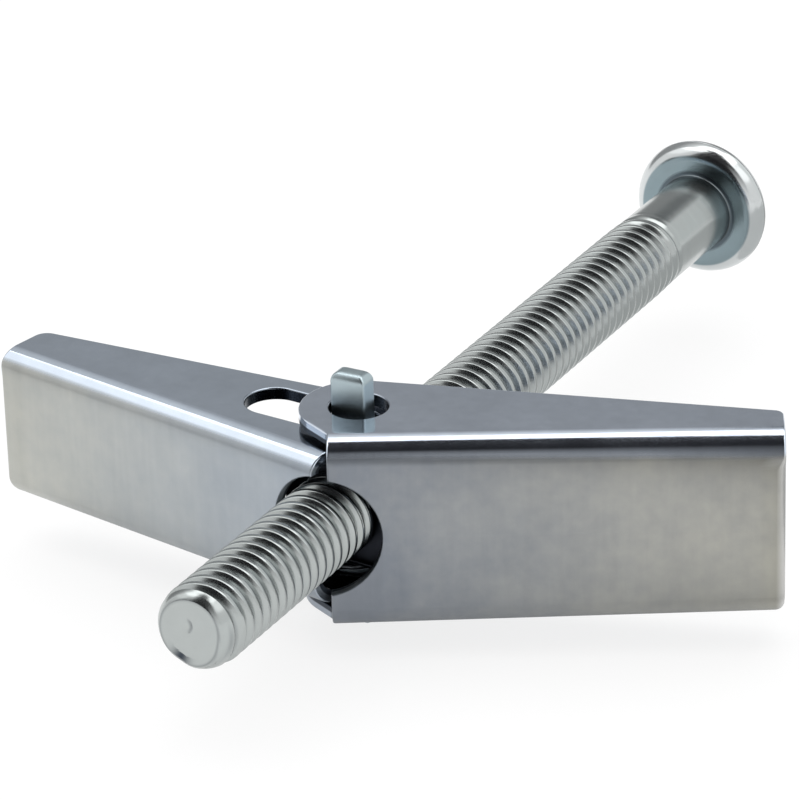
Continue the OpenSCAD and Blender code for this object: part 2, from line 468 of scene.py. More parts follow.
@dataclass
class ThreadSurface:
    """A threaded rod's skin along Y.

    Its radius at height y and angle f depends on the phase y / pitch - f / 360 degrees. From a
    flat crest it falls along a 60 degree flank to the root, and both corners are eased as
    hyperbolas. Rows run along the helix, so a row that goes once round ends one pitch higher,
    where another row begins. At the tip a bulging cone limits the radius: its slope goes from
    tip_slope to tip_last as exp(-height / tip_bend). The cone leans, so the tip's face is narrower
    on one side, and a nick takes a little more from it.
    """

    low: float
    high: float
    root_r: float
    crest_r: float
    pitch: float = 0.7
    start: float = 0.0
    crest_half: float = 0.17
    flank: float = 1.732
    ease: float = 0.018
    around: int = 96
    plain_r: float | None = None
    plain_len: float = 0.0
    run_out: float = 2.6
    tip_r: float | None = None
    tip_slope: float = 1.5
    tip_last: float = 0.3
    tip_bend: float = 0.18
    lean_depth: float = 0.3
    lean_at: float = 1.75
    nick_depth: float = 0.13
    nick_at: float = 3.6

    def radius(self, y: Array, angle: Array) -> Array:
        """The skin's radius.

        Args:
            y: places along the rod.
            angle: angles in radians.

        Returns:
            Radii in millimetres.
        """
        phase = (y / self.pitch - angle / (2 * math.pi) + self.start) % 1.0
        away = self.pitch * (np.minimum(phase, 1 - phase) - self.crest_half)
        left = (self.crest_r - self.root_r) - self.flank * (away + np.sqrt(away**2 + self.ease**2)) / 2
        r = self.root_r + (left + np.sqrt(left**2 + self.ease**2)) / 2
        if self.plain_r is not None:
            r = r + (self.plain_r - r) * smooth((y - (self.high - self.plain_len)) / self.run_out)
        if self.tip_r is not None:
            lean = self.lean_depth * np.exp(-(((angle - self.lean_at) / 0.9) ** 2))
            up = y - self.low
            bulge = (self.tip_slope - self.tip_last) * self.tip_bend * (1 - np.exp(-up / self.tip_bend))
            cone = self.tip_r - lean + up * self.tip_last + bulge
            r = np.minimum(r, cone) - self.nick_depth * self.nick(y, angle)
        return r

    def nick(self, y: Array, angle: Array) -> Array:
        """How deep the nick at the tip's edge is, from 0 to 1: a bell in angle that fades up the rod."""
        return np.exp(-(((angle - self.nick_at) / 0.3) ** 2) - ((y - self.low) / 0.22) ** 2)

    def angles(self) -> Array:
        """The angles of one turn."""
        return np.arange(self.around) * 2 * math.pi / self.around

    def put(self, r: Array, y: Array, angle: Array) -> Array:
        """Points at a radius, height and angle. The angle runs from +Z to +X, right-handed about +Y."""
        return np.stack([r * np.sin(angle), y + 0 * r, r * np.cos(angle)], -1)

    def skin(self) -> Shell:
        """The threaded skin between its two ends, open at both, with rows close at the corners."""
        foot = self.crest_half + (self.crest_r - self.root_r) / self.flank / self.pitch
        half = [0.0, self.crest_half - 0.03, self.crest_half, self.crest_half + 0.03]
        half += [(self.crest_half + foot) / 2, foot - 0.04, 0.5]
        phases = np.array(half + [1.0 - v for v in half[-2:0:-1]])
        turns = int(math.ceil((self.high - self.low) / self.pitch)) + 3
        rise = (np.arange(turns)[:, None] + phases[None, :]).ravel() - self.start % 1.0
        turn = np.arange(self.around + 1) * 2 * math.pi / self.around
        starts = self.pitch * (rise + math.floor(self.low / self.pitch) - 1)
        base, angle = np.meshgrid(starts, turn, indexing="ij")
        y = np.clip(base + self.pitch * angle / (2 * math.pi), self.low, self.high)
        points = self.put(self.radius(y, angle % (2 * math.pi)), y, angle).reshape(-1, 3)
        return Shell(points, grid_tris(len(rise), self.around + 1))


@dataclass
class MachineScrew:
    """Pan head machine screw: chamfered tip, rolled thread, and a head with a cross recess."""

    finish: bpy.types.Material
    tip_face_r: float = 1.6
    crest_r: float = 1.99
    root_r: float = 1.62
    plain_r: float = 1.93
    plain_len: float = 7.5
    head_h: float = 2.5
    neck_r: float = 0.12
    rim_r: float = 0.8
    shoulder_r: float = 0.6
    dome_r: float = 4.9
    recess_r: float = 2.15
    recess_floor_r: float = 1.0
    recess_depth: float = 1.7
    arm_half: float = 0.475

    def __post_init__(self) -> None:
        """Takes the tip, the head's seat and the head's width from the frame."""
        low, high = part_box("screw")
        self.tip = low[1] / MM
        self.seat = high[1] / MM - self.head_h
        self.head_r = (high[2] - low[2]) / MM / 2

    def tip_rows(self, thread: ThreadSurface, angle: Array) -> Array:
        """The tip's face: rings out to the thread's first edge, with a shallow mark off its centre."""
        y = self.tip
        edge = thread.radius(np.full_like(angle, y), angle)
        share = np.concatenate([np.linspace(0, 0.92, 30), [0.97, 0.99, 1.0]])[:, None]
        points = thread.put(edge * share, np.full((len(share), len(angle)), y), angle[None, :])
        points[..., 1] += 0.05 * self.face_mark(points)
        return points

    @staticmethod
    def face_mark(points: Array) -> Array:
        """Half a ring a third of a millimetre in radius, fading as exp(-distance^2 / width^2)."""
        x, z = points[..., 0] + 0.35, points[..., 2] - 0.33
        ring = np.exp(-(((np.hypot(x, z) - 0.32) / 0.08) ** 2))
        return ring * smooth((x - 0.08) / 0.2)

    def head_rows(self, thread: ThreadSurface, angle: Array) -> Array:
        """The head from its seat over the rim to the bottom of the recess.

        The side is a path of radius and height with rounded corners, turned about Y. The top is
        the dome's arc, less the recess: a cross whose arms deepen towards the middle.
        """
        seat = self.seat
        dome_y = self.head_h - self.dome_r
        side_top = dome_y + math.sqrt(self.dome_r**2 - self.head_r**2)
        inner = self.recess_r + 0.35
        dome_in = np.array([inner, dome_y + math.sqrt(self.dome_r**2 - inner**2)])
        neck, low = np.array([self.plain_r, 0.0]), np.array([self.head_r, 0.0])
        top = np.array([self.head_r, side_top])
        profile = np.concatenate(
            [
                fillet(neck - np.array([0.0, 1.0]), neck, low, self.neck_r, 8),
                self.spaced(neck + [self.neck_r, 0.0], low - [self.rim_r, 0.0]),
                fillet(neck, low, top, self.rim_r, 12),
                fillet(low, top, dome_in, self.shoulder_r, 12),
            ]
        )
        rho = np.linspace(profile[-1, 0], inner, 8)[1:]
        profile = np.concatenate([profile, np.stack([rho, dome_y + np.sqrt(self.dome_r**2 - rho**2)], 1)])
        side = thread.put(profile[:, :1] + 0 * angle, seat + profile[:, 1:] + 0 * angle, angle[None, :])
        rho = np.linspace(inner, 0.0, 46)[1:, None] + 0 * angle
        x, z = rho * np.sin(angle), rho * np.cos(angle)
        slope = (self.recess_r - rho) / (self.recess_r - self.recess_floor_r)
        arm = smooth((self.arm_half + 0.05 - np.minimum(np.abs(x), np.abs(z))) / 0.1)
        depth = self.recess_depth * np.clip(slope, 0, 1) * arm
        top_y = seat + dome_y + np.sqrt(self.dome_r**2 - rho**2) - depth
        return np.concatenate([side, thread.put(rho, top_y, angle[None, :])])

    @staticmethod
    def spaced(a: Array, b: Array) -> Array:
        """Points between a and b, close to each other near both, so that a flat shades as flat."""
        return a + (b - a) * np.array([0.02, 0.08, 0.3, 0.6, 0.88, 0.97])[:, None]

    def build(self) -> bpy.types.Object:
        """The screw in one closed piece."""
        thread = ThreadSurface(
            self.tip, self.seat - self.neck_r, self.root_r, self.crest_r,
            start=0.26, plain_r=self.plain_r, plain_len=self.plain_len, tip_r=self.tip_face_r,
        )
        angle = thread.angles()
        parts = [thread.skin()]
        for rows in (self.tip_rows(thread, angle), self.head_rows(thread, angle)):
            parts.append(Shell(rows.reshape(-1, 3), grid_tris(len(rows), len(angle), wrap=True)))
        shell = Shell.joined(parts).welded()
        # The thread's skin faces inwards as it is made, and its ends follow it, so all turn round.
        shell.tris = shell.tris[:, ::-1]
        x, y, z = shell.points.T
        radius, turn = np.hypot(x, z), np.arctan2(x, z) % (2 * math.pi)
        depth = (self.crest_r - radius) / (self.crest_r - self.root_r)
        # groove: the cut colour darkens the thread roots.
        groove = 0.45 * smooth((depth - 0.6) / 0.4) * smooth((y - self.tip - 0.3) / 0.3)
        groove = groove * (y < self.seat - self.plain_len + 2.6) * (radius > 1.4)
        face = 0.45 * self.face_mark(shell.points) * (y < self.tip + 0.1)
        # rim: painted shade along the crease where the tip's face meets the thread.
        past = radius - thread.radius(np.full_like(turn, self.tip), turn)
        rim = 0.4 * np.exp(-(past**2 + (y - self.tip) ** 2) / 0.05**2)
        # nick: the cut colour darkens the nick at the tip's edge.
        nick = thread.nick(y, turn) * (radius > 1.2)
        # corner: painted shade in the corner under the head, dimming the neck fillet's highlight.
        corner = 0.7 * np.exp(-(((y - self.seat) / 0.12) ** 2)) * (radius < self.plain_r + 0.25)
        shell.marks["cut"] = np.max([groove, face, rim, nick, corner], axis=0)
        shell.marks["satin"] = smooth((self.seat + 0.02 - y) / 0.04 + (self.head_r - 0.2 - radius) / 0.2)
        shell.marks["satin"] *= y < self.seat + 0.3
        # along gives the head's underside the darker warm colour: painted shade under the head.
        shell.marks["along"] = smooth((y - self.seat + 0.1) / 0.1)
        obj = shell.to_object("machine_screw")
        obj.data.materials.append(self.finish)
        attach(obj, Body.SCREW.value)
        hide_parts("screw")
        return obj


# ---------------------------------------------------------------- nut


@dataclass
class TrunnionNut:
    """Block with a tab at each end, made as rounded rectangles lofted along Z; its bore along Y removes
    nothing.
    """

    finish: bpy.types.Material
    half_h: float = 2.4
    edge_r: float = 0.5
    tab_half_w: float = 0.875
    tab_half_t: float = 0.5
    tab_end_r: float = 0.45
    tab_bevel: float = 0.28
    bore_r: float = 2.05
    groove_r: float = 2.26
    arc_points: int = 9

    def __post_init__(self) -> None:
        """Takes the block's width and thickness and the tabs' reach from the frame."""
        half = (Vector(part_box("trunnion_nut")[1]) - Vector(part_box("trunnion_nut")[0])) / MM / 2
        self.half_w, self.half_t, self.tab_top = half

    def ring(self, half_x: float, half_y: float, radius: float, z: float) -> Array:
        """One rounded rectangle: four quarter arcs about the corners' centres."""
        arc = np.linspace(0, math.pi / 2, self.arc_points)
        angle = np.concatenate([arc + q * math.pi / 2 for q in range(4)])
        cx = np.repeat([1, -1, -1, 1], self.arc_points) * (half_x - radius)
        cy = np.repeat([1, 1, -1, -1], self.arc_points) * (half_y - radius)
        x, y = cx + radius * np.cos(angle), cy + radius * np.sin(angle)
        return np.stack([x, y, np.full(len(angle), z)], 1)

    def build(self) -> bpy.types.Object:
        """The nut in one closed piece."""
        rings = [self.ring(0.02, 0.02, 0.01, self.tab_top)]
        for a in np.linspace(0, math.pi / 2, 7):
            drop, side = 1 - math.cos(a), 1 - math.sin(a)
            half_x = self.tab_half_w - self.tab_end_r * side
            half_y = self.tab_half_t - self.tab_bevel * side
            rings.append(self.ring(half_x, half_y, 0.13, self.tab_top - self.tab_end_r * drop))
        rings.append(self.ring(self.tab_half_w, self.tab_half_t, 0.13, self.half_h + 0.12))
        rings.append(self.ring(self.tab_half_w + 0.1, self.tab_half_t + 0.1, 0.2, self.half_h))
        for a in np.linspace(0, math.pi / 2, 7):
            drop, side = 1 - math.cos(a), 1 - math.sin(a)
            half_x, half_y = self.half_w - self.edge_r * side, self.half_t - 0.12 * side
            rings.append(self.ring(half_x, half_y, 0.1, self.half_h - self.edge_r * drop))
        upper = np.array(rings)
        lower = upper[::-1] * np.array([1.0, 1.0, -1.0])
        rows = np.concatenate([upper, lower])
        around = 4 * self.arc_points
        shell = Shell(rows.reshape(-1, 3), grid_tris(len(rows), around, wrap=True))
        fan = [np.zeros(around - 2, int), np.arange(1, around - 1), np.arange(2, around)]
        caps = [np.stack(fan, 1)]
        caps.append(caps[0][:, ::-1] + (len(rows) - 1) * around)
        shell.tris = np.concatenate([shell.tris, *caps])
        obj = shell.to_object("trunnion_nut_body")
        self.bore(obj)
        obj.data.materials.clear()
        obj.data.materials.append(self.finish)
        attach(obj, Body.NUT.value)
        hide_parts("trunnion_nut")
        return obj

    def bore(self, obj: bpy.types.Object) -> None:
        """Marks the block and makes its bore's cutter, whose ridges end at the bore's radius.

        The block stays whole: the cutter's faces point inwards, so the difference removes nothing.
        Its faces have to be turned round before the bore is cut.
        """
        reach = self.half_t + 0.6
        tool = ThreadSurface(-reach, reach, self.bore_r, self.groove_r, around=64)
        angle = tool.angles()
        parts = [tool.skin()]
        for y, flip in ((-reach, False), (reach, True)):
            edge = tool.radius(np.full_like(angle, y), angle)
            share = np.array([0.0, 1.0])[:, None]
            cap = tool.put(edge * share, np.full((2, len(angle)), y), angle[None, :])
            parts.append(Shell(cap.reshape(-1, 3), grid_tris(2, len(angle), wrap=True, flip=flip)))
        cutter = Shell.joined(parts).welded().to_object("bore_tool")
        cut = obj.modifiers.new("bore", "BOOLEAN")
        cut.operation, cut.object, cut.solver = "DIFFERENCE", cutter, "EXACT"
        graph = bpy.context.evaluated_depsgraph_get()
        mesh = bpy.data.meshes.new_from_object(obj.evaluated_get(graph))
        obj.modifiers.clear()
        obj.data = mesh
        mesh.shade_smooth()
        mesh.set_sharp_from_angle(angle=math.radians(32))
        bpy.data.objects.remove(cutter)
        z = np.empty(3 * len(mesh.vertices), np.float32)
        mesh.vertices.foreach_get("co", z)
        # The block's inside mark is painted shade on the body that sits inside the wings' channel.
        block = smooth((self.half_h + 0.35 - np.abs(z[2::3]) / MM) / 0.3)
        mesh.attributes.new("inside", "FLOAT", "POINT").data.foreach_set("value", block.astype(np.float32))


# ---------------------------------------------------------------- wings


@dataclass
class FoldedWing:
    """A sheet blank folded into a channel.

    The blank has coordinates u along the wing and s across it, measured on the sheet's middle. A
    point n outside the middle goes to the web for small s, round the fold's centre by the angle
    (s - flat) / middle radius, and then straight on along the flange. The channel's height falls
    by the share taper from the pivot to the free end. Its pivot end hangs lower by sag and its free
    end stands as much higher, which is how it lies in its play on the tabs.
    """

    name: str
    body: Body
    finish: bpy.types.Material
    length: float
    lap: float
    corner_r: float
    opening: float
    play: float = 0.0
    mirrored: bool = False
    hole_r: float = 1.35
    slot_reach: float = 0.0
    slot_tilt: float = 0.0
    sheet_t: float = 0.6
    fold_r: float = 0.9
    web_dist: float = 3.9
    ear_r: float = 2.7
    end_depth: float = 2.7
    end_corner_r: float = 0.7
    notch_r: float = 2.8
    notch_out: float = 0.45
    edge_r: float = 0.09
    end_edge_r: float = 0.5
    inside_edge_r: float = 0.05
    end_slant: float = 0.0
    crown: tuple[float, float] = (15.0, 15.0)
    crown_len: float = 1.0
    satin_from: tuple[float, float] = (0.62, 0.62)
    shade_reach: float = 8.0
    taper: float = 0.0
    sag: float = 0.0
    end_band_depth: float = 0.4

    def __post_init__(self) -> None:
        """Takes the wing's height from the frame and works out where the folds lie on the blank."""
        low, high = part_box(self.body.value)
        self.height = (high[2] - low[2]) / MM
        self.mid_r = self.fold_r - self.sheet_t / 2
        self.flat_s = self.height / 2 - self.fold_r
        self.fold_s = self.flat_s + self.mid_r * math.pi / 2
        self.notch_u = -self.lap - self.notch_out

    def bend(self, u: Array, s: Array, n: Array) -> tuple[Array, Array, Array]:
        """The folded place of a blank's points, with the sheet's normal and its way across.

        Args:
            u: along the wing.
            s: across the blank.
            n: outside the sheet's middle.

        Returns:
            Points, outward normals and the direction of growing s, in the wing's own frame.
        """
        u, s, n = np.broadcast_arrays(u, s, n)
        a, side = np.abs(s), np.where(s < 0, -1.0, 1.0)
        t = np.clip((a - self.flat_s) / self.mid_r, 0, math.pi / 2)
        y = self.fold_r - self.web_dist - (self.mid_r + n) * np.cos(t) + np.maximum(a - self.fold_s, 0)
        z = side * (np.minimum(a, self.flat_s) + (self.mid_r + n) * np.sin(t))
        share = u / self.length
        z = z * (1 + self.taper * (0.5 - share)) - self.sag * (1 - 2 * share)
        zero = np.zeros_like(u)
        lean = t + self.crowning(u, a, t)
        normal = np.stack([zero, -np.cos(lean), side * np.sin(lean)], -1)
        across = np.stack([zero, side * np.sin(lean), np.cos(lean)], -1)
        return np.stack([u, y, z], -1), normal, across

    def crowning(self, u: Array, a: Array, t: Array) -> Array:
        """How far the bend's pull leans the sheet before the fold proper, in radians.

        At the fold it goes from crown's first value by the pivot to its second at the free end. It
        fades into the web as exp(-distance / crown_len) and over the fold's first half.
        """
        share = np.clip(u / self.length, 0, 1)
        grows = np.radians(self.crown[0] + (self.crown[1] - self.crown[0]) * share)
        fades = np.exp(-np.maximum(self.flat_s - a, 0) / self.crown_len)
        return grows * fades * smooth(1 - t / (math.pi / 4))

    def place(self, v: Array, moved: bool = True) -> Array:
        """Vectors of the wing's own frame put into the part's frame, opened about the pivot."""
        c, s = math.cos(math.radians(self.opening)), math.sin(math.radians(self.opening))
        x = v[..., 0] * c - v[..., 1] * s + (self.play if moved else 0.0)
        y = v[..., 0] * s + v[..., 1] * c
        return np.stack([-x if self.mirrored else x, y, v[..., 2]], -1)

    def outline(self) -> tuple[Array, Array, Array]:
        """The blank's edge: the web's inner end, its free end, and one flange's edge between them.

        The inner end has a round notch and leans out over each fold by end_slant, the free end has
        rounded corners, and the flange runs along a tangent to a round ear about the pivot, back
        along another and round its end.

        Returns:
            Points of shape (rows, 2), (rows, 2) and (n, 2) in u and s.
        """
        notch_s = math.sqrt(self.notch_r**2 - self.notch_out**2)
        top = math.asin(notch_s / self.notch_r)
        inside = self.notch_r * np.sin(np.linspace(-top, top, 125))
        flat = np.linspace(notch_s, self.flat_s, 5)[1:]
        above = np.concatenate([flat, np.linspace(self.flat_s, self.fold_s, 15)[1:]])
        s = np.concatenate([-above[::-1], inside, above])
        bite = np.sqrt(np.maximum(self.notch_r**2 - s**2, 0)) + self.notch_u
        over = np.clip((np.abs(s) - self.flat_s) / (self.fold_s - self.flat_s), 0, 1)
        left = np.stack([np.maximum(bite, -self.lap) - self.end_slant * over, s], 1)
        z = self.bend(0 * s + self.length / 2, s, 0 * s)[0][:, 2]
        past = np.clip(np.abs(z) - (self.height / 2 - self.corner_r), 0, self.corner_r)
        right = np.stack([self.length - self.corner_r + np.sqrt(self.corner_r**2 - past**2), s], 1)

        fold_y = self.fold_r - self.web_dist
        end_u = right[-1, 0]
        corner = np.array([end_u, self.end_depth - self.web_dist])
        touch = math.atan2(corner[1], corner[0]) + math.acos(self.ear_r / np.linalg.norm(corner))
        root = np.array([-self.lap - self.end_slant, fold_y])
        foot = math.atan2(root[1], root[0]) - math.acos(self.ear_r / np.linalg.norm(root)) + 2 * math.pi
        angle = np.linspace(foot, touch, 72)
        ear = self.ear_r * np.stack([np.cos(angle), np.sin(angle)], 1)
        rounding = fillet(ear[-1], corner, np.array([end_u, fold_y]), self.end_corner_r, 10)
        flange = np.concatenate(
            [
                line(root, ear[0], 6)[1:-1],
                ear,
                line(ear[-1], rounding[0], 12)[1:-1],
                rounding,
                line(rounding[-1], np.array([end_u, fold_y]), 5)[1:-1],
            ]
        )
        flange[:, 1] += self.fold_s - fold_y
        return left, right, flange

    def hole(self) -> Array:
        """The upper flange's hole: a circle about the pivot, or a slot of two half circles."""
        tilt = math.radians(-self.slot_tilt)
        half = np.linspace(-math.pi / 2, math.pi / 2, 33)
        far = self.hole_r * np.stack([np.cos(half), np.sin(half)], 1)
        near = far * np.array([-1.0, -1.0])
        p = np.concatenate([far + np.array([self.slot_reach, 0.0]), near])
        p = p[np.linalg.norm(p - np.roll(p, 1, 0), axis=1) > 1e-6]
        u = p[:, 0] * math.cos(tilt) - p[:, 1] * math.sin(tilt)
        y = p[:, 0] * math.sin(tilt) + p[:, 1] * math.cos(tilt)
        return np.stack([u, y + self.fold_s + self.web_dist - self.fold_r], 1)

    @staticmethod
    def outwards(loop: Array) -> Array:
        """Unit vectors out of the sheet along a closed edge that keeps the sheet on its left."""
        t = np.roll(loop, -1, 0) - np.roll(loop, 1, 0)
        n = np.stack([t[:, 1], -t[:, 0]], 1)
        return n / np.linalg.norm(n, axis=1, keepdims=True)

    def drawn_in(self, loop: Array, inset: Array) -> Array:
        """A closed edge moved into the sheet.

        At the sharp corners where the notch meets the inner end, the moved arc and the moved
        straight edge cross at u = inset - lap, so points past that crossing go back to it.
        """
        moved = loop - self.outwards(loop) * inset[:, None]
        u, s = moved[:, 0], moved[:, 1]
        edge_u = inset - self.lap
        cross = np.sqrt((self.notch_r + inset) ** 2 - (edge_u - self.notch_u) ** 2)
        notch_s = math.sqrt(self.notch_r**2 - self.notch_out**2)
        near = (loop[:, 0] < 0.6 - self.lap) & (np.abs(loop[:, 1]) < self.flat_s)
        arc = near & (np.abs(loop[:, 1]) < notch_s - 1e-6)
        past = (arc & ((u < edge_u) | (np.abs(s) > cross))) | (near & ~arc & (np.abs(s) < cross))
        moved[past] = np.stack([edge_u, np.sign(s) * cross], 1)[past]
        return moved

    def edge_radius(self, loop: Array) -> Array:
        """How far the outside of an edge is rounded: little, but more at the web's free end.

        The greater radius ends before the upper fold and runs on round the lower one.
        """
        t = smooth((loop[:, 0] - (self.length - 1.1)) / 0.7)
        last = np.where(loop[:, 1] < 0, self.fold_s + 0.4, self.flat_s + 0.2)
        t = t * smooth((last - np.abs(loop[:, 1])) / 0.8)
        return self.edge_r + (self.end_edge_r - self.edge_r) * t

    def dressed(
        self, flat: Array, n: Array, lean: Array, tris: Array, cut: Array, away: Array | None = None
    ) -> Shell:
        """A part of the wing, folded and opened, with its marks.

        The marks are satin (the web's outside, round its lower fold and part of its upper one),
        along (from the pivot to the free end), edge (a lighter colour over the free end's rounded
        edge), cut (0 on the sheet's faces, growing down a cut wall, and painted shade under the
        lower fold), end_band (a dull band across the free end) and inside (painted shade deep in
        the channel by the pivot).

        Args:
            flat: points of the blank in u and s.
            n: how far outside the sheet's middle they lie.
            lean: how much their normal points out of the sheet's face, from -1 to 1.
            tris: the triangles.
            cut: the cut mark.
            away: the way out of the sheet at an edge, for the rest of the normal.

        Returns:
            The dressed shell.
        """
        u, s = flat[:, 0], flat[:, 1]
        points, normal, across = self.bend(u, s, n)
        normal = normal * lean[:, None]
        if away is not None:
            sideways = away[:, :1] * np.array([[1.0, 0.0, 0.0]]) + away[:, 1:] * across
            normal = normal + sideways * np.sqrt(np.maximum(1 - lean**2, 0))[:, None]
        turn = (np.abs(s) - self.flat_s) / self.mid_r
        share = np.clip(u / self.length, 0, 1)
        start = self.satin_from[0] + (self.satin_from[1] - self.satin_from[0]) * share
        reach = np.where(s > 0, (start - turn) / 0.3, (1.75 - turn) / 0.2)
        outside = smooth(1 + 4 * lean)
        # edge: a lighter colour over the rounded free end.
        edge = smooth((u - self.length + self.end_edge_r) / (0.8 * self.end_edge_r))
        # under: painted shade along the underside of the lower fold.
        under = np.where(s < 0, 0.4 * smooth((turn - 0.6) / 0.5), 0.0) * outside
        marks = {
            "satin": smooth(reach) * outside,
            "edge": 0.8 * edge * outside * smooth(reach),
            "along": share,
            "cut": np.maximum(cut, under),
            # end_band: a dull olive band across the web just before the free end's rounded edge.
            "end_band": self.end_band_depth * np.exp(-(((u - self.length + 0.7) / 0.28) ** 2)) * outside,
            # inside: painted shade on the inner faces near the pivot.
            "inside": smooth((self.shade_reach - u) / 3.0) * (1 - outside) * (cut < 0.01),
        }
        tris = tris[:, ::-1] if self.mirrored else tris
        return Shell(self.place(points), tris, self.place(normal, False), flat, marks)

    def side(self, face: float, parts: tuple[Array, Array, Array], hole: Array) -> list[Shell]:
        """The outside or inside of the sheet, out to where its rounded edges begin.

        The web and folds are a grid of straight lines from the inner end to the free end. Each
        flange is flat, so its edge and hole are simply filled.

        Args:
            face: 1 for the outside and -1 for the inside.
            parts: the outline's inner end, free end and upper flange.
            hole: the upper flange's hole.

        Returns:
            The shells of the web and of both flanges.
        """
        left, right, flange = parts
        low = flange * np.array([1.0, -1.0])
        loop = np.concatenate([low, right, flange[::-1], left[::-1]])
        inset = self.edge_radius(loop) if face > 0 else np.full(len(loop), self.inside_edge_r)
        loop = self.drawn_in(loop, inset)
        low, right, top, left = np.split(loop, np.cumsum([len(low), len(right), len(flange)]))
        left = left[::-1]
        share = np.linspace(0, 1, 24)
        grid = left[:, None, :] + (right - left)[:, None, :] * share[None, :, None]
        rings = [(grid.reshape(-1, 2), grid_tris(len(grid), len(share), flip=face > 0))]
        for sign, ring in ((1, np.concatenate([grid[-1], top])), (-1, np.concatenate([low, grid[0][::-1]]))):
            opening = self.clockwise(hole * np.array([1.0, sign]))
            opening = opening - self.outwards(opening) * (self.edge_r if face > 0 else self.inside_edge_r)
            both = np.concatenate([ring, opening])
            tris = self.filled(ring, opening)
            e1, e2 = both[tris[:, 1]] - both[tris[:, 0]], both[tris[:, 2]] - both[tris[:, 0]]
            wrong = (e1[:, 0] * e2[:, 1] - e1[:, 1] * e2[:, 0]) * face < 0
            tris[wrong] = tris[wrong][:, ::-1]
            rings.append((both, tris))
        shells = []
        for flat, tris in rings:
            full = np.full(len(flat), face)
            shells.append(self.dressed(flat, full * self.sheet_t / 2, full, tris, np.zeros(len(flat))))
        return shells

    @staticmethod
    def filled(ring: Array, opening: Array) -> Array:
        """Triangles that fill a ring less an opening.

        Points on a straight stretch are first bent inwards a little, by a bow that grows with the
        distance from its ends, so that no triangle is made of three points in one line.
        """
        ahead, behind = np.roll(ring, -1, 0) - ring, ring - np.roll(ring, 1, 0)
        cross = ahead[:, 0] * behind[:, 1] - ahead[:, 1] * behind[:, 0]
        straight = np.abs(cross) < 1e-3 * np.linalg.norm(ahead, axis=1) * np.linalg.norm(behind, axis=1)
        bow = np.zeros(len(ring))
        for _ in range(300):
            bow = np.where(straight, (np.roll(bow, 1) + np.roll(bow, -1)) / 2 + 1e-5, 0.0)
        bent = ring - FoldedWing.outwards(ring) * bow[:, None]
        return np.array(tessellate_polygon([[Vector((*p, 0.0)) for p in part] for part in (bent, opening)]))

    @staticmethod
    def clockwise(loop: Array) -> Array:
        """A closed loop in the order that keeps the sheet round it on its left."""
        x, y = loop[:, 0], loop[:, 1]
        return loop[::-1] if np.sum(x * np.roll(y, -1) - np.roll(x, -1) * y) > 0 else loop

    def rim(self, loop: Array, radius: Array, burnish: float) -> Shell:
        """The sheet's cut edge along a closed loop.

        Across it, the edge is a quarter arc of the given radius on the outside, where the punch
        drew the sheet in, a straight wall, and a small quarter arc on the inside. The wall is
        bright down to where the cut turned from shear to tear; below that it takes the cut colour,
        torn metal darkened with painted shade. A wall with no bright share, as in the holes, is
        painted shade from its outer arc down.

        Args:
            loop: the edge on the blank, with the sheet on its left.
            radius: the outer arc's radius at each point.
            burnish: the bright share of the wall.

        Returns:
            The closed band of the edge.
        """
        a = np.linspace(0, math.pi / 2, 6)
        half, small = self.sheet_t / 2, self.inside_edge_r
        outer, inner = (np.full((6, len(loop)), 1.0) * v for v in (radius, small))
        inset = np.concatenate([outer * (1 - np.sin(a))[:, None], inner * (1 - np.cos(a))[:, None]])
        outer_n = half - outer * (1 - np.cos(a))[:, None]
        inner_n = inner * (1 - np.sin(a))[:, None] - half
        n = np.concatenate([outer_n, inner_n])
        lean = np.repeat(np.concatenate([np.cos(a), -np.sin(a)]), len(loop))
        wall = np.clip(burnish + np.array([0.0, 0.12])[:, None], 0.05, 0.95)
        wall = n[5] + (n[6] - n[5]) * wall
        inset, n = np.insert(inset, [6, 6], 0.0, axis=0), np.insert(n, [6, 6], wall, axis=0)
        lean = np.insert(lean, 6 * len(loop), np.zeros(2 * len(loop)))
        # The cut rows colour the lower wall as torn metal with painted shade; in the holes the whole wall is
        # painted shade.
        cut = np.repeat(np.array([0, 0, 0, 0, 0, 0, 0, 1, 1, 1, 1, 1, 1, 0.9]), len(loop))
        if burnish <= 0:
            cut = np.repeat(np.array([0, 0.2, 0.4, 0.6, 0.8, 1, 1, 1, 1, 1, 1, 1, 1, 0.9]), len(loop))
        flat = np.concatenate([self.drawn_in(loop, row) for row in inset])
        away = np.tile(self.outwards(loop), (len(n), 1))
        return self.dressed(flat, n.ravel(), lean, grid_tris(len(n), len(loop), wrap=True), cut, away)

    def build(self) -> bpy.types.Object:
        """The wing in one closed piece."""
        parts, hole = self.outline(), self.hole()
        left, right, flange = parts
        loop = np.concatenate([flange * np.array([1.0, -1.0]), right, flange[::-1], left[::-1]])
        shells = self.side(1.0, parts, hole) + self.side(-1.0, parts, hole)
        shells.append(self.rim(loop, self.edge_radius(loop), 0.5))
        for sign in (1.0, -1.0):
            opening = self.clockwise(hole * np.array([1.0, sign]))
            shells.append(self.rim(opening, np.full(len(opening), self.edge_r), 0.0))
        obj = Shell.joined(shells).welded().to_object(self.name)
        obj.data.materials.append(self.finish)
        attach(obj, self.body.value)
        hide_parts(self.body.value)
        return obj


# ---------------------------------------------------------------- spring


